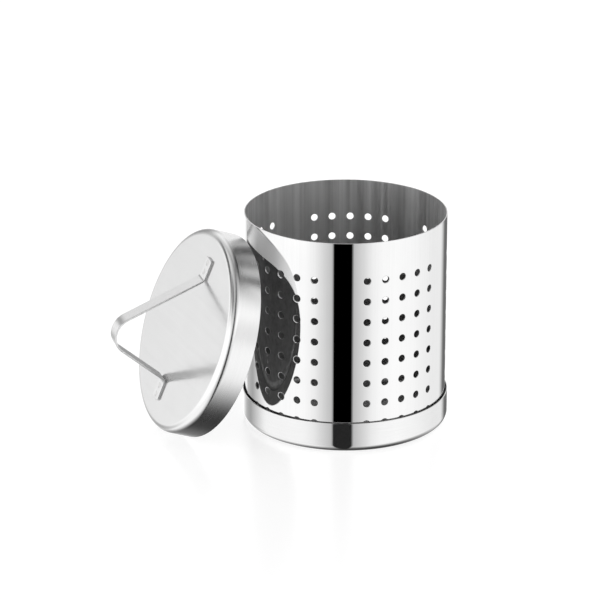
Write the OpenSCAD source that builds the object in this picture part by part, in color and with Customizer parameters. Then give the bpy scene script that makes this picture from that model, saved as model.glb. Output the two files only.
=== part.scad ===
// Perforated cheese mould: a rolled wall that stands in a base cap, with a lid pan leaning beside it.
// Origin: centre of the base cap's underside. +Z runs up the mould's axis; the lid leans on the -X side.

/* [Wall] */
// Outside diameter of the perforated wall
mould_d = 112; // [100:1:140]
// Height of the wall's top edge above the table
mould_top = 120.5; // [100:0.5:160]
// Thickness of the sheet that the wall and both pans are made of
sheet = 0.6; // [0.4:0.1:1]
// Width of the ground weld that closes the rolled wall
seam_w = 1.2; // [0.8:0.1:2]

/* [Drain holes] */
// Diameter of each drain hole
hole_d = 4; // [2:0.5:5]
// Panels of holes around the wall
panels = 5; // [3:1:5]
// Columns of holes in a panel
hole_columns = 5; // [1:1:5]
// Rows of holes in a panel
hole_rows = 8; // [2:1:8]
// Distance between two columns, measured along the wall's outside
column_pitch = 10.4; // [8:0.1:11]
// Depth of the top row below the wall's top edge
top_row_drop = 21.7; // [12:0.1:30]
// Height of the lowest row above the table
lowest_row = 16.2; // [12:0.1:20]
// Turn of the first panel's centre about the mould's axis
panel_turn = 64.2; // [0:0.1:90]

/* [Base cap and lid pan] */
// Height of the base cap and of the lid pan
pan_h = 17.2; // [14:0.1:30]
// Outside radius of the pressed edge between a pan's flat face and its skirt
pan_edge_r = 4.5; // [2:0.1:6]
// Gap all round between the wall and a pan's skirt
rim_gap = 0.7; // [0.3:0.1:1.5]

/* [Handle] */
// Width of the handle strap
strap_w = 8; // [6:0.5:14]
// Thickness of the handle strap
strap_t = 1.2; // [0.8:0.1:2]
// Distance from the lid's centre to the outer end of each foot
foot_reach = 43.5; // [41:0.5:44]
// Distance from the lid's centre to the place where each foot starts to bend up
bend_reach = 32.8; // [28:0.1:33]
// Inside radius of the bend at each foot
bend_r = 2.5; // [1.5:0.1:3.5]
// Height of the arch over the lid's face
arch_h = 39.3; // [34:0.1:50]
// Radius of the arch's top, on the strap's middle line
arch_r = 11; // [8:0.1:14]
// Distance of the arch's top from the lid's centre, towards one foot
arch_lean = 8.5; // [0:0.1:10]
// Turn of the handle about the lid's axis
handle_turn = -7; // [-90:1:90]
// Diameter of each spot weld
weld_d = 3; // [2:0.1:3.5]

/* [Leaning lid] */
// Lean of the lid's face from upright
lid_lean = 19.8; // [10:0.1:35]
// Distance of the lid's centre to the side of the mould's axis
lid_side = 11.8; // [-15:0.1:15]

/* [Hidden] */
// Clearance between the leaning lid and the wall
lid_gap = 0.35;
// Clearance between the leaning lid and the table
table_gap = 0.2;
// Clearance between the wall's foot and the base cap that it stands in
seat_gap = 0.12;
// How far the seam weld stands proud of the sheet, on each side
seam_proud = 0.1;
// Depth of the mark that each spot weld leaves on both sides
weld_mark = 0.1;
// Radius of the corners of the handle's feet
foot_corner_r = 1.5;
// Extra length of a cutting solid past the face that it cuts
cut = 1;
mould_r = mould_d / 2;
inner_r = mould_r - sheet;
pan_r = mould_r + rim_gap + sheet;
edge_inner_r = pan_edge_r - sheet;
// The wall's foot stands on the rounded inside corner of the base cap.
seat_offset = max(0, edge_inner_r - rim_gap + seam_proud);
seat_z = pan_edge_r - sqrt(edge_inner_r * edge_inner_r - seat_offset * seat_offset) + seat_gap;
wall_h = mould_top - seat_z;
column_angle = 360 * column_pitch / (PI * mould_d);
row_pitch = (mould_top - top_row_drop - lowest_row) / (hole_rows - 1);
seam_angle = panel_turn + 540 / panels;
// The lid stands on its rim, as near to the wall as lid_gap allows.
reach_r = mould_r + lid_gap;
lid_x = -max([
    for (a = [20:1:160])
        let (y = lid_side + pan_r * cos(a))
        if (abs(y) < reach_r) sqrt(reach_r * reach_r - y * y) + pan_r * sin(a) * sin(lid_lean)
]);
lid_z = pan_r * cos(lid_lean) + table_gap;
bend_mid_r = bend_r + strap_t / 2;
bend_z = strap_t + bend_r;
bend_steps = 12;
arch_steps = 24;
arch_z = arch_h - strap_t / 2 - arch_r;
foot_len = foot_reach - bend_reach;
weld_places = [for (side = [-1, 1], part = [0.25, 0.75]) side * (bend_reach + part * foot_len)];
$fn = 128;

// A pan's section: flat face, rounded edge, skirt and a deburred rim.
module pan_section() {
    difference() {
        union() {
            square([pan_r - pan_edge_r, pan_edge_r]);
            translate([0, pan_edge_r])
                square([pan_r, pan_h - pan_edge_r - sheet / 2]);
            translate([pan_r - pan_edge_r, pan_edge_r])
                circle(pan_edge_r);
            translate([pan_r - sheet / 2, pan_h - sheet / 2])
                circle(sheet / 2, $fn = 24);
        }
        translate([-cut, sheet])
            square([pan_r - pan_edge_r + cut, pan_h]);
        translate([-cut, pan_edge_r])
            square([pan_r - sheet + cut, pan_h]);
        translate([pan_r - pan_edge_r, pan_edge_r])
            circle(edge_inner_r);
    }
}

// A pan lying on its flat face, open upwards.
module pan() {
    rotate_extrude()
        pan_section();
}

module ring(outer, inner, height) {
    difference() {
        cylinder(r = outer, h = height);
        translate([0, 0, -cut])
            cylinder(r = inner, h = height + 2 * cut);
    }
}

// The upright slot that the seam weld fills.
module seam_slot(height) {
    rotate([0, 0, seam_angle])
        translate([inner_r - cut, -seam_w / 2, 0])
            cube([sheet + 2 * cut, seam_w, height]);
}

module drain_holes() {
    for (panel = [0:panels - 1], column = [0:hole_columns - 1], row = [0:hole_rows - 1]) {
        angle = panel_turn + panel * 360 / panels + (column - (hole_columns - 1) / 2) * column_angle;
        rotate([0, 0, angle])
            translate([inner_r - cut, 0, lowest_row + row * row_pitch])
                rotate([0, 90, 0])
                    cylinder(d = hole_d, h = sheet + 2 * cut, $fn = 32);
    }
}

// Puts a piece drawn on the lid's face, with the face's outside up, at the leaning lid.
module on_lid() {
    translate([lid_x, 0, lid_z])
        translate([0, lid_side, 0])
            rotate([0, lid_lean - 90, 0])
                translate([0, 0, pan_h])
                    children();
}

// The four places of the spot welds along the handle.
module at_welds() {
    rotate([0, 0, handle_turn])
        for (place = weld_places)
            translate([place, 0, 0])
                children();
}

module weld_holes() {
    at_welds()
        translate([0, 0, -sheet - cut])
            cylinder(d = weld_d, h = sheet + strap_t + 2 * cut, $fn = 32);
}

// Points along an arc, from one angle to another.
function arc_points(centre, r, from, to, steps) = [
    for (i = [0:steps])
        let (a = from + (to - from) * i / steps)
        centre + r * [cos(a), sin(a)]
];

// Slope of the strap's straight arm between a foot's bend and the arch's top.
function arm_angle(arch_x) =
    let (rise = [arch_x + bend_reach, arch_z - bend_z])
    atan2(rise.y, rise.x) + asin((arch_r + bend_mid_r) / norm(rise));

// One face of half the strap's section, from the foot at -X to the arch's top.
// side is 1 for the strap's upper face and -1 for its lower face.
function half_face(arch_x, side) =
    let (arm = arm_angle(arch_x), shift = side * strap_t / 2)
    concat(
        [[-foot_reach, strap_t / 2 + shift]],
        arc_points([-bend_reach, bend_z], bend_mid_r - shift, -90, arm - 90, bend_steps),
        arc_points([arch_x, arch_z], arch_r + shift, arm + 90, 90, arch_steps)
    );

// A whole face: the other half is the mirror image of one whose arch leans the other way.
function whole_face(side) =
    let (left = half_face(-arch_lean, side), right = half_face(arch_lean, side))
    concat(left, [for (i = [len(right) - 2:-1:0]) [-right[i].x, right[i].y]]);

// The strap's section: both faces of the bent strip.
module strap_section() {
    upper = whole_face(1);
    lower = whole_face(-1);
    polygon(concat(upper, [for (i = [len(lower) - 1:-1:0]) lower[i]]));
}

// The feet's plan: the whole strap's length and width with rounded corners.
module strap_plan() {
    half_w = strap_w / 2 - foot_corner_r;
    half_l = foot_reach - foot_corner_r;
    square([2 * half_l, strap_w], center = true);
    square([2 * foot_reach, 2 * half_w], center = true);
    for (x = [-half_l, half_l], y = [-half_w, half_w])
        translate([x, y])
            circle(foot_corner_r, $fn = 32);
}

// Shallow pressed dish that the wall stands in; it is the mould's loose bottom.
module base_cap() {
    color("silver")
        pan();
}

// Rolled and perforated sheet, open at both ends.
module mould_wall() {
    color("gainsboro")
        difference() {
            translate([0, 0, seat_z])
                ring(mould_r, inner_r, wall_h);
            seam_slot(mould_top + cut);
            drain_holes();
        }
}

// Ground weld between the rolled sheet's two edges.
module wall_seam_weld() {
    color("darkgray")
        intersection() {
            translate([0, 0, seat_z])
                ring(mould_r + seam_proud, inner_r - seam_proud, wall_h);
            seam_slot(mould_top + cut);
        }
}

// The lid: the same pan as the base cap, turned over.
module lid_pan() {
    color("silver")
        on_lid()
            difference() {
                mirror([0, 0, 1])
                    pan();
                weld_holes();
            }
}

// Flat strap bent into an arch, with a foot at each end.
module lid_handle() {
    color("lightgray")
        on_lid()
            difference() {
                rotate([0, 0, handle_turn])
                    intersection() {
                        rotate([90, 0, 0])
                            linear_extrude(strap_w + cut, center = true)
                                strap_section();
                        linear_extrude(arch_h + cut)
                            strap_plan();
                    }
                weld_holes();
            }
}

// Weld nuggets that join the handle's feet to the lid, two at each foot.
module handle_spot_welds() {
    color("darkgray")
        on_lid()
            at_welds()
                translate([0, 0, weld_mark - sheet])
                    cylinder(d = weld_d, h = sheet + strap_t - 2 * weld_mark, $fn = 32);
}

base_cap();
mould_wall();
wall_seam_weld();
lid_pan();
lid_handle();
handle_spot_welds();
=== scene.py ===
import math

import bpy
import numpy as np
from mathutils import Matrix, Vector


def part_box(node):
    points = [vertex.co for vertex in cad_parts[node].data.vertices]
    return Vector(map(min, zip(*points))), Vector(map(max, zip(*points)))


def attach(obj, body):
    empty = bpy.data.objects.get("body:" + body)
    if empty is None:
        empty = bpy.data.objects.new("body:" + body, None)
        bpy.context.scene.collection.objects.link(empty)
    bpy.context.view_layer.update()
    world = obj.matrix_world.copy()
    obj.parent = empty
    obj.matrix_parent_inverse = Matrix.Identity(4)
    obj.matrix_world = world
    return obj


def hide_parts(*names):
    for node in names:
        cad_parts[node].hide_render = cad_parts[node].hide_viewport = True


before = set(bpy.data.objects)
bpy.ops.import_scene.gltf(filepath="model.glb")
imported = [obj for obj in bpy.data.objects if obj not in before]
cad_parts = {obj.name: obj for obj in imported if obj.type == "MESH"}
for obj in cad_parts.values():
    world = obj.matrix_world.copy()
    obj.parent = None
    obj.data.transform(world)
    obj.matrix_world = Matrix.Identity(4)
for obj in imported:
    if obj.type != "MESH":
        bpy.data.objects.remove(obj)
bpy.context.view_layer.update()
MM = 0.001
MICRON = 0.001 * MM

# ---------------------------------------------------------------- sizes
# What the CAD nodes' boxes give.
cap_low, cap_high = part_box("base_cap")
wall_low, wall_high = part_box("mould_wall")
lid_low, lid_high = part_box("lid_pan")
PAN_R = (cap_high.y - cap_low.y) / 2
PAN_H = cap_high.z
WALL_R = (wall_high.y - wall_low.y) / 2
WALL_BOTTOM = wall_low.z
WALL_TOP = wall_high.z
# The CAD model's other sizes.
SHEET = 0.6 * MM
PAN_EDGE_R = 4.5 * MM
SEAM_W = 1.2 * MM
SEAM_PROUD = 0.1 * MM
HOLE_R = 2.0 * MM
PANELS, COLUMNS, ROWS = 5, 5, 8
COLUMN_PITCH = 10.4 * MM
LOWEST_ROW = 16.2 * MM
ROW_PITCH = 11.8 * MM
PANEL_TURN = math.radians(64.2)
SEAM_ANGLE = PANEL_TURN + 1.5 * math.tau / PANELS  # midway between two panels, behind
LID_LEAN = math.radians(19.8)
LID_SIDE = 11.8 * MM
TABLE_GAP = 0.2 * MM
HANDLE_TURN = math.radians(-7)
STRAP_W, STRAP_T = 8.0 * MM, 1.2 * MM
FOOT_REACH, BEND_REACH = 43.5 * MM, 32.8 * MM
FOOT_CORNER_R = 1.5 * MM
BEND_R = 2.5 * MM
ARCH_H, ARCH_R, ARCH_LEAN = 39.3 * MM, 11.0 * MM, 8.5 * MM
WELD_R = 1.5 * MM
WELD_MARK = 0.1 * MM
WELD_RIM = 0.08 * MM  # rounding of the sheet round each weld

# The lid's own frame: +Z out of its face, +X up along the face.
LID_UP = Vector((math.sin(LID_LEAN), 0, math.cos(LID_LEAN)))
LID_OUT = Vector((-math.cos(LID_LEAN), 0, math.sin(LID_LEAN)))
# The lowest corner of the lid's box is its rim's lowest point; the box also gives where the open rim is.
rim_x = lid_high.x - PAN_R * math.sin(LID_LEAN)
LID_PLACE = Matrix.Translation(
    Vector((rim_x, LID_SIDE, PAN_R * math.cos(LID_LEAN) + TABLE_GAP)) + LID_OUT * PAN_H
) @ Matrix((LID_UP, (0, 1, 0), LID_OUT)).transposed().to_4x4()


# ---------------------------------------------------------------- sheet meshes
CELL = 8  # lattice steps along each side of the cell round a hole
HOLE_SHARE = 0.55  # place of the ring of points between a cell's boundary and its hole


class Sheet:
    """A sheet of metal with two skins, rounded holes and a rounded outer edge, built on a flat lattice."""

    def __init__(self, thickness, place):
        # place(u, v, depth) gives the point and the unit vectors along u, along v and out of the sheet
        self.t, self.place = thickness, place
        self.co, self.no, self.faces, self.mats = [], [], [], []

    def vertex(self, p, depth, lean, towards):
        """A point at a depth below the outer skin, whose normal leans out of the sheet towards the void."""
        at, along_u, along_v, out = self.place(p[0], p[1], depth)
        side = along_u * towards[0] + along_v * towards[1]
        if side.length > 0:
            side.normalize()
        self.co.append(at)
        self.no.append((out * math.cos(lean) + side * math.sin(lean)).normalized())
        return len(self.co) - 1

    def skin(self, points, faces, depth, mat, mat_at=None):
        """One side of the sheet; mat_at gives a face's material from its first point."""
        lean = 0.0 if depth == 0 else math.pi
        ids = [self.vertex(p, depth, lean, (0, 0)) for p in points]
        for f in faces:
            self.faces.append([ids[i] for i in f])
            self.mats.append(mat_at(points[f[0]]) if mat_at else mat)
        return ids

    def edge(self, loop, points, dirs, skins, section, mats):
        """The rounded edge that joins the two skins along a closed loop; dirs point out of the sheet."""
        outer_ids, inner_ids = skins
        rings = [[outer_ids[i] for i in loop]]
        kinds = []
        for distance, depth, lean, side in section:
            rings.append([
                self.vertex(points[i] + d * distance, depth, lean, d) for i, d in zip(loop, dirs)
            ])
            kinds.append(mats[side])
        rings.append([inner_ids[i] for i in loop])
        kinds.append(mats[1])
        n = len(loop)
        for a, b, m in zip(rings[:-1], rings[1:], kinds):
            for k in range(n):
                k2 = (k + 1) % n
                self.faces.append([a[k], b[k], b[k2], a[k2]])
                self.mats.append(m)


def edge_section(thickness, reach, drop, inner_reach, steps):
    """A rounded edge's section, a tuple for each step.

    It holds the distance out, the depth, the lean of the normal, and 0 for the outer side or 1 for the inner.
    """
    section = []
    for s in range(1, steps + 1):
        a = math.pi / 2 * s / steps
        lean = math.atan2(math.sin(a) * drop, math.cos(a) * reach) if s < steps else math.pi / 2
        section.append((reach * math.sin(a), drop * (1 - math.cos(a)), lean, 0))
    for s in range(steps):
        a = math.pi / 2 * (1 - s / steps)
        distance = reach - inner_reach * (1 - math.sin(a))
        section.append((distance, thickness - inner_reach * (1 - math.cos(a)), math.pi - a, 1))
    if inner_reach < reach:
        section.append((reach - inner_reach, thickness, math.pi, 1))
    return section


def round_section(thickness, radius, steps):
    return edge_section(thickness, radius, radius, radius, steps)


def cell_squares(cells, columns, wrap):
    """The lattice squares that the cells cover, and the lattice points strictly inside the cells."""
    covered, inside = set(), set()
    for i0, j0, _, _ in cells:
        for a in range(CELL):
            for b in range(CELL):
                square = ((i0 + a) % columns if wrap else i0 + a, j0 + b)
                covered.add(square)
                if a and b:
                    inside.add(square)
    return covered, inside


def cell_boundary(i, j):
    """The lattice's columns and rows round a cell, in order."""
    return (
        [(i + k, j) for k in range(CELL)]
        + [(i + CELL, j + k) for k in range(CELL)]
        + [(i + CELL - k, j + CELL) for k in range(CELL)]
        + [(i, j + CELL - k) for k in range(CELL)]
    )


def spokes(ring, points, centre):
    """Even directions from a hole's centre that go round the same way as its cell's boundary."""
    first = points[ring[0]] - centre
    turn = math.atan2(first[1], first[0])
    pairs = zip(ring, ring[1:] + ring[:1])
    area = sum(points[a][0] * points[b][1] - points[b][0] * points[a][1] for a, b in pairs)
    way = 1 if area > 0 else -1
    angles = [turn + way * math.tau * k / len(ring) for k in range(len(ring))]
    return [np.array((math.cos(a), math.sin(a))) for a in angles]


def lattice(us, vs, at, cells, wrap=False):
    """Points and faces of a flat lattice with round holes, each in a cell of squares.

    Each cell is (first column, first row, centre, radius).
    """
    nu, nv = len(us), len(vs)
    covered, inside = cell_squares(cells, nu, wrap)
    index, points, faces = {}, [], []
    for i in range(nu):
        for j in range(nv):
            if (i, j) not in inside:
                index[i, j] = len(points)
                points.append(np.array(at(us[i], vs[j])))

    def pick(i, j):
        return index[i % nu if wrap else i, j]

    for i in range(nu if wrap else nu - 1):
        for j in range(nv - 1):
            if (i, j) not in covered:
                faces.append([pick(i, j), pick(i + 1, j), pick(i + 1, j + 1), pick(i, j + 1)])
    holes = []
    for i0, j0, centre, radius in cells:
        ring = [pick(*c) for c in cell_boundary(i0, j0)]
        centre = np.array(centre)
        dirs = spokes(ring, points, centre)
        middle, rim = [], []
        for boundary, d in zip(ring, dirs):
            p = centre + d * radius
            middle.append(len(points))
            points.append(p * HOLE_SHARE + points[boundary] * (1 - HOLE_SHARE))
            rim.append(len(points))
            points.append(p)
        n = len(ring)
        for a, b in ((ring, middle), (middle, rim)):
            for k in range(n):
                k2 = (k + 1) % n
                faces.append([a[k], a[k2], b[k2], b[k]])
        holes.append((rim, [-d for d in dirs]))
    return points, faces, index, holes


def turned(faces, co, facing):
    """The faces, each with its corners in the order that makes it face the way its corners' normals do."""
    four = np.array([f if len(f) == 4 else [*f, f[0]] for f in faces])
    p = co[four]
    n = np.cross(p[:, 1] - p[:, 0], p[:, 2] - p[:, 0]) + np.cross(p[:, 2] - p[:, 0], p[:, 3] - p[:, 0])
    wrong = (n * facing[four].sum(1)).sum(1) < 0
    return [f[::-1] if w else f for f, w in zip(faces, wrong)]


def finish_piece(name, mesh_co, normals, faces, mats, materials, body, node, matrix=None):
    """Makes the object, with its exact normals and its own coordinates as an attribute for the materials."""
    mesh = bpy.data.meshes.new(name)
    local = np.array([tuple(c) for c in mesh_co], float)
    facing = np.array([tuple(n) for n in normals], float)
    faces = turned(faces, local, facing)
    if matrix is not None:
        mesh_co = [matrix @ Vector(c) for c in mesh_co]
        turn = matrix.to_3x3()
        normals = [turn @ Vector(n) for n in normals]
    mesh.from_pydata([tuple(c) for c in mesh_co], [], faces)
    for m in materials:
        mesh.materials.append(m)
    mesh.polygons.foreach_set("material_index", mats)
    mesh.polygons.foreach_set("use_smooth", [True] * len(faces))
    own = mesh.attributes.new("own", "FLOAT_VECTOR", "POINT")
    own.data.foreach_set("vector", local.ravel())
    mesh.update()
    mesh.validate()
    mesh.normals_split_custom_set_from_vertices([tuple(n) for n in normals])
    obj = bpy.data.objects.new(name, mesh)
    bpy.context.scene.collection.objects.link(obj)
    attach(obj, body)
    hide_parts(node)
    return obj


# ---------------------------------------------------------------- shader nodes
class Nodes:
    """Makes and links the nodes of one node tree."""

    def __init__(self, tree):
        tree.nodes.clear()
        self.new, self.link = tree.nodes.new, tree.links.new

    def math(self, operation, *values):
        node = self.new("ShaderNodeMath")
        node.operation = operation
        for socket, value in zip(node.inputs, values):
            if isinstance(value, (int, float)):
                socket.default_value = value
            else:
                self.link(value, socket)
        return node.outputs[0]

    def spread(self, value, source, target, smooth=False):
        """Maps the range source, (low, high), to the range target, and holds the ends."""
        node = self.new("ShaderNodeMapRange")
        node.interpolation_type = "SMOOTHSTEP" if smooth else "LINEAR"
        names = ("From Min", "From Max", "To Min", "To Max")
        for name, number in zip(names, (*source, *target)):
            node.inputs[name].default_value = number
        self.link(value, node.inputs["Value"])
        return node.outputs[0]

    def noise(self, place, scale, detail, rough=0.55):
        mapping = self.new("ShaderNodeMapping")
        mapping.inputs["Scale"].default_value = scale
        self.link(place, mapping.inputs["Vector"])
        node = self.new("ShaderNodeTexNoise")
        node.inputs["Scale"].default_value = 1.0
        node.inputs["Detail"].default_value = detail
        node.inputs["Roughness"].default_value = rough
        self.link(mapping.outputs[0], node.inputs["Vector"])
        return node.outputs[0]

    def distance(self, place, mask):
        """The length of a place, counted only along the axes in mask."""
        kept = self.new("ShaderNodeVectorMath")
        kept.operation = "MULTIPLY"
        kept.inputs[1].default_value = mask
        self.link(place, kept.inputs[0])
        length = self.new("ShaderNodeVectorMath")
        length.operation = "LENGTH"
        self.link(kept.outputs[0], length.inputs[0])
        return length.outputs["Value"]

    def ramp(self, value, stops):
        """Brightness along stops of (position, brightness)."""
        low, high = stops[0][0], stops[-1][0]
        node = self.new("ShaderNodeValToRGB")
        self.link(self.spread(value, (low, high), (0, 1)), node.inputs[0])
        ramp = node.color_ramp
        ramp.elements.remove(ramp.elements[-1])
        ramp.elements[0].position = 0.0
        ramp.elements[0].color = (*[stops[0][1]] * 3, 1)
        for position, brightness in stops[1:]:
            stop = ramp.elements.new((position - low) / (high - low))
            stop.color = (*[brightness] * 3, 1)
        return node.outputs[0]


# ---------------------------------------------------------------- materials
NOISE_SPAN = (0.3, 0.7)  # nearly all of a noise's values lie here
FROM_AXIS, UPWARDS = (1, 1, 0), (0, 0, 1)
CLOUD_SIZE = (60, 60, 60)
BAND_SIZE = (75, 75, 1.5)


def steel_shade(n, own, streaks, contrast, smear, middle, rise, bands):
    """How much of the tint shows: streaks, cloudy smears, bands, and the painted shade that middle and rise
    ask for.
    """
    along = n.spread(streaks, NOISE_SPAN, (1 - contrast, 1 + contrast * 0.3))
    clouds = n.spread(n.noise(own, CLOUD_SIZE, 3.0), NOISE_SPAN, (1 - smear, 1.0))
    shade = n.math("MULTIPLY", along, clouds)
    # middle and rise are painted shade: darker in a pan's middle and towards the bottom.
    for span, mask in ((middle, FROM_AXIS), (rise, UPWARDS)):
        if span is not None:
            low, high, brightness = span
            fade = n.spread(n.distance(own, mask), (low, high), (brightness, 1.0), smooth=True)
            shade = n.math("MULTIPLY", shade, fade)
    if bands:
        broad = n.spread(n.noise(own, BAND_SIZE, 3.0, 0.7), NOISE_SPAN, (1 - bands, 1.0))
        shade = n.math("MULTIPLY", shade, broad)
    return shade


def steel(name, tint, rough, streak_size, streak_depth, contrast, smear, metallic=1.0,
          detail=4.0, fine=0.55, uneven=(0.75, 1.35), middle=None, rise=None, bands=0.0):
    """Stainless steel: streaks of the rolled or brushed sheet, cloudy wear, fine scratches, and painted shade
    where middle or rise ask for it.

    tint is one brightness or a colour. contrast is that of the streaks and smear that of the wear.
    detail and fine shape the streaks' noise.
    uneven is the least and most roughness along the streaks, in parts of rough.
    middle is (inner radius, outer radius, brightness of the middle), for a pan: painted shade, darker in the
    pan's middle.
    rise is (low height, high height, brightness below): painted shade, darker towards the bottom.
    bands is the contrast of the broad upright bands that rolling leaves.
    """
    m = bpy.data.materials.new(name)
    m.use_nodes = True
    n = Nodes(m.node_tree)
    out = n.new("ShaderNodeOutputMaterial")
    bsdf = n.new("ShaderNodeBsdfPrincipled")
    n.link(bsdf.outputs[0], out.inputs[0])
    bsdf.inputs["Metallic"].default_value = metallic
    attribute = n.new("ShaderNodeAttribute")
    attribute.attribute_name = "own"
    own = attribute.outputs["Vector"]
    streaks = n.noise(own, streak_size, detail, fine)
    colour = n.new("ShaderNodeMix")
    colour.data_type = "RGBA"
    colour.inputs[6].default_value = (0, 0, 0, 1)
    colour.inputs[7].default_value = (*(tint if isinstance(tint, tuple) else [tint] * 3), 1)
    n.link(steel_shade(n, own, streaks, contrast, smear, middle, rise, bands), colour.inputs[0])
    n.link(colour.outputs[2], bsdf.inputs["Base Color"])
    worn = n.noise(own, [size * 0.6 for size in streak_size], 3.0)
    n.link(n.spread(worn, NOISE_SPAN, (rough * uneven[0], rough * uneven[1])), bsdf.inputs["Roughness"])
    bump = n.new("ShaderNodeBump")
    bump.inputs["Strength"].default_value = 1.0
    bump.inputs["Distance"].default_value = streak_depth
    n.link(streaks, bump.inputs["Height"])
    n.link(bump.outputs[0], bsdf.inputs["Normal"])
    return m


# Streaks, in noise cells per metre along x, y and z of the piece.
UPRIGHT = (900, 900, 12)
BRUSHED_UPRIGHT = (210, 210, 2.5)
TURNED = (300, 300, 1500)
ACROSS_STRAP = (20, 900, 900)
polished = steel("polished steel", 0.80, 0.02, UPRIGHT, 0.1 * MICRON, 0.02, 0.02)
# The wall's inside: brushed steel, with painted shade from rise that darkens it towards the bottom of the
# mould.
brushed_inside_painted_shade = steel("brushed steel inside painted shade", 0.99, 0.40, BRUSHED_UPRIGHT, 90 * MICRON, 0.28, 0.06,
                       detail=6.0, fine=0.68, rise=(60 * MM, 88 * MM, 0.5), bands=0.32)
spun = steel("spun steel", 0.78, 0.03, (60, 60, 2500), 0.2 * MICRON, 0.03, 0.02, metallic=0.97)
satin = steel("satin steel", 0.80, 0.165, (300, 12, 300), 0.5 * MICRON, 0.02, 0.02)
satin_edge = steel("satin steel edge", 0.80, 0.20, (40, 40, 1500), 0.3 * MICRON, 0.02, 0.02)
satin_skirt = steel("satin steel skirt", 0.82, 0.26, (40, 40, 900), 0.1 * MICRON, 0.015, 0.02,
                    uneven=(0.93, 1.08))
# The lid's inside: a darker copy of the spun steel, darker still in its middle: painted shade in the lid's
# hollow.
spun_inside_painted_shade = steel("spun steel inside painted shade", 0.44, 0.60, TURNED, 3 * MICRON, 0.10, 0.10,
                    middle=(40 * MM, 75 * MM, 0.56))
# The cap's inside: a darker copy of the spun steel: painted shade under the mould.
cap_inside_painted_shade = steel("bright steel inside painted shade", 0.60, 0.38, TURNED, 3 * MICRON, 0.10, 0.10)
# The pans' inside skirts: a darker steel: painted shade inside the pans.
skirt_inside_painted_shade = steel("brushed skirt inside painted shade", 0.56, 0.5, TURNED, 3 * MICRON, 0.08, 0.06)
strap_finish = steel("strap steel", 0.84, 0.2, ACROSS_STRAP, 0.5 * MICRON, 0.04, 0.03)
strap_edge = steel("strap steel edge", 0.80, 0.38, (60, 900, 900), 1 * MICRON, 0.05, 0.04)
# The strap's underside: a darker copy of the strap steel: painted shade under the handle.
strap_underside_painted_shade = steel("strap steel underside painted shade", 0.56, 0.28, ACROSS_STRAP, 0.5 * MICRON, 0.06, 0.05)
weld_finish = steel("ground weld", (0.78, 0.775, 0.77), 0.18, (1500, 1500, 400), 1 * MICRON, 0.06, 0.06)


# ---------------------------------------------------------------- the mould's wall
def wall_place(u, v, depth):
    """u is the distance round the wall from the seam, and v the height."""
    a = SEAM_ANGLE + u / WALL_R
    out = Vector((math.cos(a), math.sin(a), 0))
    along = Vector((-math.sin(a), math.cos(a), 0))
    return out * (WALL_R - depth) + Vector((0, 0, v)), along, Vector((0, 0, 1)), out


def steps(a, b, n):
    """n even steps from a towards b, without b."""
    return [a + (b - a) * k / n for k in range(n)]


LIP, LIP_DROP, LIP_INSIDE = 0.32 * MM, 0.2 * MM, 0.06 * MM  # the rolled lip that punching leaves at each hole
EDGE = 0.12 * MM
GAP_STEPS, FOOT_STEPS, TOP_STEPS = 6, 5, 11
panel_arc = math.tau * WALL_R / PANELS
half_gap = (panel_arc - COLUMNS * COLUMN_PITCH) / 2
us = []
for panel in range(PANELS):
    start = panel * panel_arc
    us += steps(start if panel else SEAM_W / 2 + EDGE, start + half_gap, GAP_STEPS)
    us += steps(start + half_gap, start + half_gap + COLUMNS * COLUMN_PITCH, COLUMNS * CELL)
    last = start + panel_arc if panel < PANELS - 1 else start + panel_arc - SEAM_W / 2 - EDGE
    us += steps(start + panel_arc - half_gap, last, GAP_STEPS)
us.append(PANELS * panel_arc - SEAM_W / 2 - EDGE)
first_row = LOWEST_ROW - ROW_PITCH / 2
vs = steps(WALL_BOTTOM + EDGE, first_row, FOOT_STEPS)
vs += steps(first_row, first_row + ROWS * ROW_PITCH, ROWS * CELL)
vs += steps(first_row + ROWS * ROW_PITCH, WALL_TOP - EDGE, TOP_STEPS) + [WALL_TOP - EDGE]
per_panel = 2 * GAP_STEPS + COLUMNS * CELL
cells = [
    (
        panel * per_panel + GAP_STEPS + column * CELL, FOOT_STEPS + row * CELL,
        (panel * panel_arc + half_gap + (column + 0.5) * COLUMN_PITCH, LOWEST_ROW + row * ROW_PITCH),
        HOLE_R + LIP,
    )
    for panel in range(PANELS) for column in range(COLUMNS) for row in range(ROWS)
]


def rectangle_loop(index, nu, nv):
    """The lattice's outer boundary, with the way out of the sheet at each point."""
    loop = (
        [(i, 0) for i in range(nu - 1)] + [(nu - 1, j) for j in range(nv - 1)]
        + [(i, nv - 1) for i in range(nu - 1, 0, -1)] + [(0, j) for j in range(nv - 1, 0, -1)]
    )
    dirs = []
    for i, j in loop:
        dirs.append(np.array((float((i == nu - 1) - (i == 0)), float((j == nv - 1) - (j == 0)))))
    return [index[c] for c in loop], dirs


points, faces, index, holes = lattice(us, vs, lambda u, v: (u, v), cells)
wall = Sheet(SHEET, wall_place)
outer_ids = wall.skin(points, faces, 0, 0)
inner_ids = wall.skin(points, faces, SHEET, 1)
loop, dirs = rectangle_loop(index, len(us), len(vs))
wall.edge(loop, points, dirs, (outer_ids, inner_ids), round_section(SHEET, EDGE, 3), (0, 1))
for rim, dirs in holes:
    lip = edge_section(SHEET, LIP, LIP_DROP, LIP_INSIDE, 3)
    wall.edge(rim, points, dirs, (outer_ids, inner_ids), lip, (0, 1))
finish_piece(
    "wall", wall.co, wall.no, wall.faces, wall.mats, [polished, brushed_inside_painted_shade],
    "mould", "mould_wall",
)


# ---------------------------------------------------------------- the two pans
flat_r = PAN_R - PAN_EDGE_R
bend_len = PAN_EDGE_R * math.pi / 2
rim_len = flat_r + bend_len + PAN_H - PAN_EDGE_R


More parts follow.
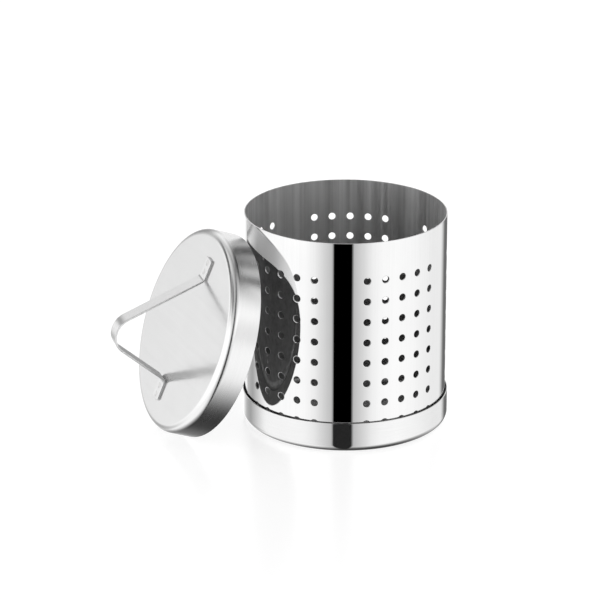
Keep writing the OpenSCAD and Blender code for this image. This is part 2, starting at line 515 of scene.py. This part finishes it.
def pan_place(u, v, depth):
    """u and v are the unrolled pan's coordinates about its centre; out is away from the pan's inside."""
    s = math.hypot(u, v)
    radial = Vector((u / s, v / s, 0)) if s > 0 else Vector((1, 0, 0))
    around = Vector((-radial.y, radial.x, 0))
    if s <= flat_r:
        at, along, out = radial * s, radial, Vector((0, 0, -1))
    else:
        a = min((s - flat_r) / PAN_EDGE_R, math.pi / 2)
        along = radial * math.cos(a) + Vector((0, 0, math.sin(a)))
        out = radial * math.sin(a) - Vector((0, 0, math.cos(a)))
        at = radial * flat_r + Vector((0, 0, PAN_EDGE_R)) + out * PAN_EDGE_R
        at += Vector((0, 0, max(0.0, s - flat_r - bend_len)))
    # Unit vectors along u and v, so that a direction in the unrolled pan turns with the sheet.
    cu, cv = radial.x, radial.y
    along_u = along * cu - around * cv
    along_v = along * cv + around * cu
    return at - out * depth, along_u, along_v, out


AROUND = 256
ring_angles = [math.tau * k / AROUND for k in range(AROUND)]
foot_len = FOOT_REACH - BEND_REACH
weld_reach = [BEND_REACH + foot_len * part for part in (0.25, 0.75)]


# A pan's materials, in the order that build_pan takes them.
FACE, INSIDE, INSIDE_SKIRT, SKIRT, BEND = range(5)
TINY = 1e-6


def build_pan(name, weld_turn, materials, body, node, matrix):
    """A pan lying on its flat face, with weld holes where weld_turn says, put in place by matrix."""
    radii = [2 * MM, 8 * MM, 16 * MM, 24 * MM]
    first = len(radii)
    radii += steps(BEND_REACH, FOOT_REACH, 2 * CELL)
    radii += steps(FOOT_REACH, flat_r, 5)
    radii += steps(flat_r, flat_r + bend_len, 14)
    radii += steps(flat_r + bend_len, rim_len - SHEET / 2, 5) + [rim_len - SHEET / 2]
    cells = []
    if weld_turn is not None:
        for side in (0, AROUND // 2):
            for k, reach in enumerate(weld_reach):
                a = weld_turn + math.tau * side / AROUND
                column = (side - CELL // 2) % AROUND
                centre = (math.cos(a) * reach, math.sin(a) * reach)
                cells.append((column, first + k * CELL, centre, WELD_R + WELD_RIM))
    turn = weld_turn or 0.0
    points, faces, index, holes = lattice(
        ring_angles, radii, lambda a, r: (math.cos(a + turn) * r, math.sin(a + turn) * r), cells, wrap=True
    )
    centre = len(points)
    points.append(np.array((0.0, 0.0)))
    for i in range(AROUND):
        faces.append([centre, index[(i + 1) % AROUND, 0], index[i, 0]])
    pan = Sheet(SHEET, pan_place)
    turned_up = flat_r + bend_len - TINY

    def outside(p):
        if math.hypot(*p) >= turned_up:
            return SKIRT
        return BEND if math.hypot(*p) >= flat_r - TINY else FACE

    def inside(p):
        return INSIDE_SKIRT if math.hypot(*p) >= turned_up else INSIDE

    outer_ids = pan.skin(points, faces, 0, FACE, outside)
    inner_ids = pan.skin(points, faces, SHEET, INSIDE, inside)
    last = len(radii) - 1
    loop = [index[i, last] for i in range(AROUND)]
    dirs = [np.array((math.cos(a + turn), math.sin(a + turn))) for a in ring_angles]
    skins = outer_ids, inner_ids
    pan.edge(loop, points, dirs, skins, round_section(SHEET, SHEET / 2, 6), (SKIRT, INSIDE_SKIRT))
    for rim, dirs in holes:
        pan.edge(rim, points, dirs, skins, round_section(SHEET, WELD_RIM, 3), (FACE, INSIDE))
    return finish_piece(name, pan.co, pan.no, pan.faces, pan.mats, materials, body, node, matrix)


build_pan("cap", None, [spun, cap_inside_painted_shade, skirt_inside_painted_shade, spun, spun], "base", "base_cap", None)
# A pan's inside faces +Z, and the lid's own +Z is out of its face, so the lid is a pan turned over.
TURN_OVER = Matrix.Diagonal((1, -1, -1, 1))
build_pan(
    "lid", -HANDLE_TURN, [satin, spun_inside_painted_shade, skirt_inside_painted_shade, satin_skirt, satin_edge],
    "lid", "lid_pan", LID_PLACE @ TURN_OVER,
)


# ---------------------------------------------------------------- the handle
bend_mid_r = BEND_R + STRAP_T / 2
bend_z = STRAP_T + BEND_R
arch_z = ARCH_H - STRAP_T / 2 - ARCH_R


def arm_angle(arch_x):
    """Slope of the strap's straight arm between a foot's bend and the arch's top."""
    rise = Vector((arch_x + BEND_REACH, arch_z - bend_z))
    return math.atan2(rise.y, rise.x) + math.asin((ARCH_R + bend_mid_r) / rise.length)


EDGE_STRAP = 0.3 * MM
CORNER = FOOT_CORNER_R - EDGE_STRAP
HALF_W = STRAP_W / 2 - EDGE_STRAP
CORNER_STEPS, BEND_STEPS, ARM_STEPS, ARCH_STEPS = 4, 12, 10, 20
foot_xs = [
    FOOT_REACH - EDGE_STRAP - CORNER * (1 - math.cos(math.pi / 2 * k / CORNER_STEPS))
    for k in range(CORNER_STEPS)
]
foot_xs += steps(FOOT_REACH - FOOT_CORNER_R, BEND_REACH + foot_len / 2, CELL - CORNER_STEPS)
foot_xs += steps(BEND_REACH + foot_len / 2, BEND_REACH, CELL)


def half_path(arch_x):
    """The strap's middle line from a foot's end to the arch's top: (x, z, slope) at each step."""
    arm = arm_angle(arch_x)
    path = [(-x, STRAP_T / 2, 0.0) for x in foot_xs]
    for k in range(BEND_STEPS + 1):
        a = arm * k / BEND_STEPS
        path.append((-BEND_REACH + bend_mid_r * math.sin(a), bend_z - bend_mid_r * math.cos(a), a))
    low = Vector(path[-1][:2])
    high = Vector((arch_x - ARCH_R * math.sin(arm), arch_z + ARCH_R * math.cos(arm)))
    for k in range(1, ARM_STEPS):
        p = low.lerp(high, k / ARM_STEPS)
        path.append((p.x, p.y, arm))
    for k in range(ARCH_STEPS + 1):
        a = arm * (1 - k / ARCH_STEPS)
        path.append((arch_x - ARCH_R * math.sin(a), arch_z + ARCH_R * math.cos(a), a))
    return path


left = half_path(-ARCH_LEAN)
right = half_path(ARCH_LEAN)
path = left + [(-x, z, -a) for x, z, a in right[-2::-1]]
along_path = [0.0]
for (xa, za, _), (xb, zb, _) in zip(path, path[1:]):
    along_path.append(along_path[-1] + math.hypot(xb - xa, zb - za))


def strap_place(u, v, depth):
    """u is the distance along the strap's middle line."""
    k = min(max(int(np.searchsorted(along_path, u, side="right")) - 1, 0), len(path) - 2)
    f = (u - along_path[k]) / (along_path[k + 1] - along_path[k])
    (x0, z0, a0), (x1, z1, a1) = path[k], path[k + 1]
    a = a0 + (a1 - a0) * f
    along = Vector((math.cos(a), 0, math.sin(a)))
    out = Vector((-math.sin(a), 0, math.cos(a)))
    at = Vector((x0 + (x1 - x0) * f, v, z0 + (z1 - z0) * f))
    return at + out * (STRAP_T / 2 - depth), along, Vector((0, 1, 0)), out


def ahead_of(k):
    """Distance from a step of the path to the nearer foot's end."""
    in_foot = min(k, len(path) - 1 - k) < len(foot_xs)
    return FOOT_REACH - EDGE_STRAP - abs(path[k][0]) if in_foot else STRAP_W


def strap_point(k, v):
    """v from -1 to 1 across the strap, narrower at the rounded corners of the feet."""
    half = HALF_W
    if ahead_of(k) < CORNER:
        half = HALF_W - CORNER + math.sqrt(max(0.0, CORNER ** 2 - (CORNER - ahead_of(k)) ** 2))
    return (along_path[k], v * half)


strap_vs = [-1 + 2 * k / CELL for k in range(CELL + 1)]
last = len(path) - 1
cells = []
for k, reach in enumerate(weld_reach[::-1]):
    centre = FOOT_REACH - EDGE_STRAP - reach
    cells.append((k * CELL, 0, (centre, 0.0), WELD_R + WELD_RIM))
    cells.append((last - (k + 1) * CELL, 0, (along_path[-1] - centre, 0.0), WELD_R + WELD_RIM))
points, faces, index, holes = lattice(range(len(path)), strap_vs, strap_point, cells)
strap = Sheet(STRAP_T, strap_place)
outer_ids = strap.skin(points, faces, 0, 0)
inner_ids = strap.skin(points, faces, STRAP_T, 2)
loop, dirs = rectangle_loop(index, len(path), len(strap_vs))
edge_dirs = []
for i, d in zip(loop, dirs):
    u, v = points[i]
    ahead = min(u, along_path[-1] - u)
    if ahead < CORNER and abs(v) > HALF_W - CORNER - 1e-9:
        x = -(CORNER - ahead) if u < CORNER else CORNER - ahead
        y = math.copysign(max(0.0, abs(v) - (HALF_W - CORNER)), v)
        d = np.array((x, y)) / math.hypot(x, y)
    edge_dirs.append(d)
strap.edge(loop, points, edge_dirs, (outer_ids, inner_ids), round_section(STRAP_T, EDGE_STRAP, 4), (1, 1))
for rim, dirs in holes:
    strap.edge(rim, points, dirs, (outer_ids, inner_ids), round_section(STRAP_T, WELD_RIM, 3), (0, 0))
HANDLE_PLACE = LID_PLACE @ Matrix.Rotation(HANDLE_TURN, 4, "Z")
finish_piece(
    "handle", strap.co, strap.no, strap.faces, strap.mats, [strap_finish, strap_edge, strap_underside_painted_shade],
    "lid", "lid_handle", HANDLE_PLACE,
)


# ---------------------------------------------------------------- the welds
def smooth_normals(co, faces):
    """Each point's normal, from the faces round it."""
    total = np.zeros((len(co), 3))
    c = np.array([tuple(p) for p in co])
    for f in faces:
        n = np.cross(c[f[1]] - c[f[0]], c[f[2]] - c[f[0]])
        if len(f) == 4:
            n = n + np.cross(c[f[2]] - c[f[0]], c[f[3]] - c[f[0]])
        for i in f:
            total[i] += n
    return total / np.maximum(np.linalg.norm(total, axis=1), 1e-12)[:, None]


def nugget(co, faces, x):
    """A spot weld: a short pin whose two ends are slightly dished, with rounded rims."""
    low, high = WELD_MARK - SHEET, STRAP_T - WELD_MARK
    profile = [(0.35, 0.05), (0.7, 0.035), (0.93, 0.0), (0.98, 0.012), (1.0, 0.06)]
    rings = [(r * WELD_R, high - d * MM) for r, d in profile]
    rings += [(r * WELD_R, low + d * MM) for r, d in profile[::-1]]
    n = 32
    base = len(co)
    for r, z in rings:
        for k in range(n):
            a = math.tau * k / n
            co.append((x + r * math.cos(a), r * math.sin(a), z))
    for j in range(len(rings) - 1):
        for k in range(n):
            k2 = (k + 1) % n
            upper, lower = base + j * n, base + (j + 1) * n
            faces.append([upper + k, lower + k, lower + k2, upper + k2])
    dish = 0.055 * MM
    for z, ring, order in ((high - dish, 0, 1), (low + dish, len(rings) - 1, -1)):
        centre = len(co)
        co.append((x, 0, z))
        for k in range(n):
            f = [centre, base + ring * n + k, base + ring * n + (k + 1) % n]
            faces.append(f[::order])


co, faces = [], []
for side in (-1, 1):
    for reach in weld_reach:
        nugget(co, faces, side * reach)
finish_piece(
    "spot_welds", co, smooth_normals(co, faces), faces, [0] * len(faces), [weld_finish],
    "lid", "handle_spot_welds", HANDLE_PLACE,
)

# The seam: a ground bead, slightly crowned, with the faint ripples that grinding leaves.
BEAD_STEPS, BEAD_ROWS, RIPPLE = 10, 480, 0.9 * MM
heights = [WALL_BOTTOM + (WALL_TOP - WALL_BOTTOM) * k / BEAD_ROWS for k in range(BEAD_ROWS + 1)]
co, faces = [], []
rng = np.random.default_rng(7)
wander = np.interp(np.arange(BEAD_ROWS + 1), np.linspace(0, BEAD_ROWS, 60), rng.uniform(0.55, 1.0, 60))
for k, z in enumerate(heights):
    for r0, way in ((WALL_R, 1), (WALL_R - SHEET, -1)):
        for s in range(BEAD_STEPS + 1):
            across = -1 + 2 * s / BEAD_STEPS
            crown = SEAM_PROUD * (1 - across * across) * wander[k]
            crown *= 0.85 + 0.15 * math.cos(math.tau * (z / RIPPLE + 0.25 * across * across))
            r = r0 + way * crown
            a = SEAM_ANGLE + across * SEAM_W / 2 / WALL_R
            co.append((r * math.cos(a), r * math.sin(a), z))
row = 2 * (BEAD_STEPS + 1)
for k in range(BEAD_ROWS):
    for side, flip in ((0, False), (BEAD_STEPS + 1, True)):
        for s in range(BEAD_STEPS):
            a = k * row + side + s
            f = [a, a + 1, a + 1 + row, a + row]
            faces.append(f[::-1] if flip else f)
    for s, flip in ((0, False), (BEAD_STEPS, True)):
        a, b = k * row + s, k * row + BEAD_STEPS + 1 + s
        f = [a, a + row, b + row, b]
        faces.append(f[::-1] if flip else f)
for k, flip in ((0, False), (BEAD_ROWS, True)):
    for s in range(BEAD_STEPS):
        a, b = k * row + s, k * row + BEAD_STEPS + 1 + s
        f = [a, b, b + 1, a + 1]
        faces.append(f[::-1] if flip else f)
finish_piece(
    "seam_weld", co, smooth_normals(co, faces), faces, [0] * len(faces), [weld_finish],
    "mould", "wall_seam_weld",
)


# ---------------------------------------------------------------- camera
FACING = math.radians(-23.26)  # the camera looks along +Y turned by this much about the mould's axis
DISTANCE, HEIGHT = 1.680, 0.684
YAW, PITCH = -0.0150, -0.3514
turn = Matrix.Rotation(FACING, 4, "Z")
cam_data = bpy.data.cameras.new("camera")
cam_data.lens, cam_data.sensor_width = 193.13, 36.0
cam_data.clip_start, cam_data.clip_end = 0.05, 50
camera = bpy.data.objects.new("camera", cam_data)
bpy.context.scene.collection.objects.link(camera)
camera.location = turn @ Vector((0, -DISTANCE, HEIGHT))
look = Vector((math.sin(YAW) * math.cos(PITCH), math.cos(YAW) * math.cos(PITCH), math.sin(PITCH)))
camera.rotation_mode = "QUATERNION"
camera.rotation_quaternion = (turn.to_3x3() @ look).to_track_quat("-Z", "Y")
bpy.context.scene.camera = camera
bpy.context.scene.view_settings.view_transform = "Standard"


# ---------------------------------------------------------------- studio
# The light by azimuth from the camera's side: white cloth, with a black stripe behind the camera.
# The stops were chosen to follow how bright the polished wall looks from side to side.
STRIPE_LEFT, STRIPE_RIGHT, STRIPE_EDGE = -14.0, 8.45, 0.15
CLOTH = [
    (-180, 0.90), (-160, 0.86), (-146, 0.66), (-133, 0.61), (-127, 0.77), (-120, 0.87),
    (-90, 0.92), (-60, 0.91), (-47, 0.89), (-35, 0.80), (-29, 0.70),
    (STRIPE_LEFT - STRIPE_EDGE, 0.48), (STRIPE_LEFT + STRIPE_EDGE, 0.0),
    (STRIPE_RIGHT - STRIPE_EDGE, 0.0), (STRIPE_RIGHT + STRIPE_EDGE, 0.47),
    (23, 0.70), (30, 0.83), (40, 0.91), (60, 0.94), (84, 0.90), (116, 0.80), (136, 0.78), (180, 0.90),
]
# How it falls off by elevation, towards a dim ceiling and a dark floor. The floor's edge is tilted.
CEILING = [(-90, 1.0), (28, 1.0), (45, 0.88), (60, 0.60), (90, 0.20)]
FLOOR = [(-110, 0.03), (-80, 0.05), (-68, 0.20), (-58, 0.42), (-48, 0.72), (-40, 1.0), (110, 1.0)]
FLOOR_TILT, FLOOR_LOW_SIDE, FLOOR_DROP = 14.0, -50.0, 4.0
# Soft patches: azimuth, elevation, half width, half height, and how much each dims or brightens its middle.
PATCHES = [
    (-110, 29, 32, 16, -0.95),
    (-70, 45, 34, 14, -0.90),
    (130, 48, 55, 36, -0.90),
    (160, -20, 20, 26, -0.85),
    (-160, 8, 28, 18, -0.65),
    (-132, -27, 30, 13, -0.45),
    (-50, 10, 85, 32, 0.25),
    (20, 30, 50, 22, 0.20),
    (55, 12, 26, 14, -0.25),
    (-175, -46, 40, 14, -0.50),
]
PATCH_CORE, PATCH_REACH = 0.3, 1.2  # where a patch starts to fade and where it ends, in half widths
BRIGHT = 1.3


def patch(n, azimuth, elevation, centre_az, centre_el, half_width, half_height, change):
    """1, changed by up to change inside a soft-edged ellipse."""
    turn = n.math("WRAP", n.math("SUBTRACT", azimuth, centre_az), 180.0, -180.0)
    across = n.math("ABSOLUTE", n.math("DIVIDE", turn, half_width))
    up = n.math("ABSOLUTE", n.math("DIVIDE", n.math("SUBTRACT", elevation, centre_el), half_height))
    squares = n.math("ADD", n.math("POWER", across, 2.0), n.math("POWER", up, 2.0))
    return n.spread(n.math("SQRT", squares), (PATCH_CORE, PATCH_REACH), (1.0 + change, 1.0), smooth=True)


def background(n, strength):
    node = n.new("ShaderNodeBackground")
    node.inputs["Color"].default_value = (1, 1, 1, 1)
    if isinstance(strength, float):
        node.inputs["Strength"].default_value = strength
    else:
        n.link(strength, node.inputs["Strength"])
    return node.outputs[0]


def studio_light(n):
    """How brightly the studio shines from each direction."""
    rotate = n.new("ShaderNodeVectorRotate")
    rotate.rotation_type = "Z_AXIS"
    rotate.inputs["Angle"].default_value = -FACING + math.pi / 2
    n.link(n.new("ShaderNodeTexCoord").outputs["Generated"], rotate.inputs["Vector"])
    xyz = n.new("ShaderNodeSeparateXYZ")
    n.link(rotate.outputs[0], xyz.inputs[0])
    # Azimuth and elevation in degrees, with azimuth 0 at the camera's side.
    azimuth = n.math("MULTIPLY", n.math("ARCTAN2", xyz.outputs[1], xyz.outputs[0]), 180 / math.pi)
    elevation = n.math("MULTIPLY", n.math("ARCSINE", xyz.outputs[2]), 180 / math.pi)
    from_low_side = n.math("MULTIPLY", n.math("SUBTRACT", azimuth, FLOOR_LOW_SIDE), math.pi / 180)
    tilt = n.math("MULTIPLY", n.math("COSINE", from_low_side), FLOOR_TILT)
    above_floor = n.math("ADD", elevation, n.math("SUBTRACT", tilt, FLOOR_DROP))
    light = n.math("MULTIPLY", n.ramp(azimuth, CLOTH), BRIGHT)
    light = n.math("MULTIPLY", light, n.ramp(elevation, CEILING))
    light = n.math("MULTIPLY", light, n.ramp(above_floor, FLOOR))
    for numbers in PATCHES:
        light = n.math("MULTIPLY", light, patch(n, azimuth, elevation, *numbers))
    return light


world = bpy.data.worlds.new("studio")
bpy.context.scene.world = world
world.use_nodes = True
nodes = Nodes(world.node_tree)
# The camera sees a plain white background where it sees no object or floor.
mix = nodes.new("ShaderNodeMixShader")
nodes.link(nodes.new("ShaderNodeLightPath").outputs["Is Camera Ray"], mix.inputs[0])
nodes.link(background(nodes, studio_light(nodes)), mix.inputs[1])
nodes.link(background(nodes, 1.0), mix.inputs[2])
nodes.link(mix.outputs[0], nodes.new("ShaderNodeOutputWorld").inputs[0])

# The floor: a pale, faintly glossy table, lit from below as well as from above.
floor_mesh = bpy.data.meshes.new("floor")
FLOOR_HALF = 6.0
corners = [(-1, -1), (1, -1), (1, 1), (-1, 1)]
floor_mesh.from_pydata([(x * FLOOR_HALF, y * FLOOR_HALF, 0) for x, y in corners], [], [(0, 1, 2, 3)])
floor = bpy.data.objects.new("floor", floor_mesh)
bpy.context.scene.collection.objects.link(floor)
floor.visible_glossy = False
pale = bpy.data.materials.new("pale floor")
pale.use_nodes = True
surface = pale.node_tree.nodes["Principled BSDF"]
surface.inputs["Base Color"].default_value = (0.5, 0.5, 0.5, 1)
surface.inputs["Roughness"].default_value = 0.24
surface.inputs["IOR"].default_value = 1.5
surface.inputs["Emission Color"].default_value = (1, 1, 1, 1)
surface.inputs["Emission Strength"].default_value = 0.70
floor_mesh.materials.append(pale)
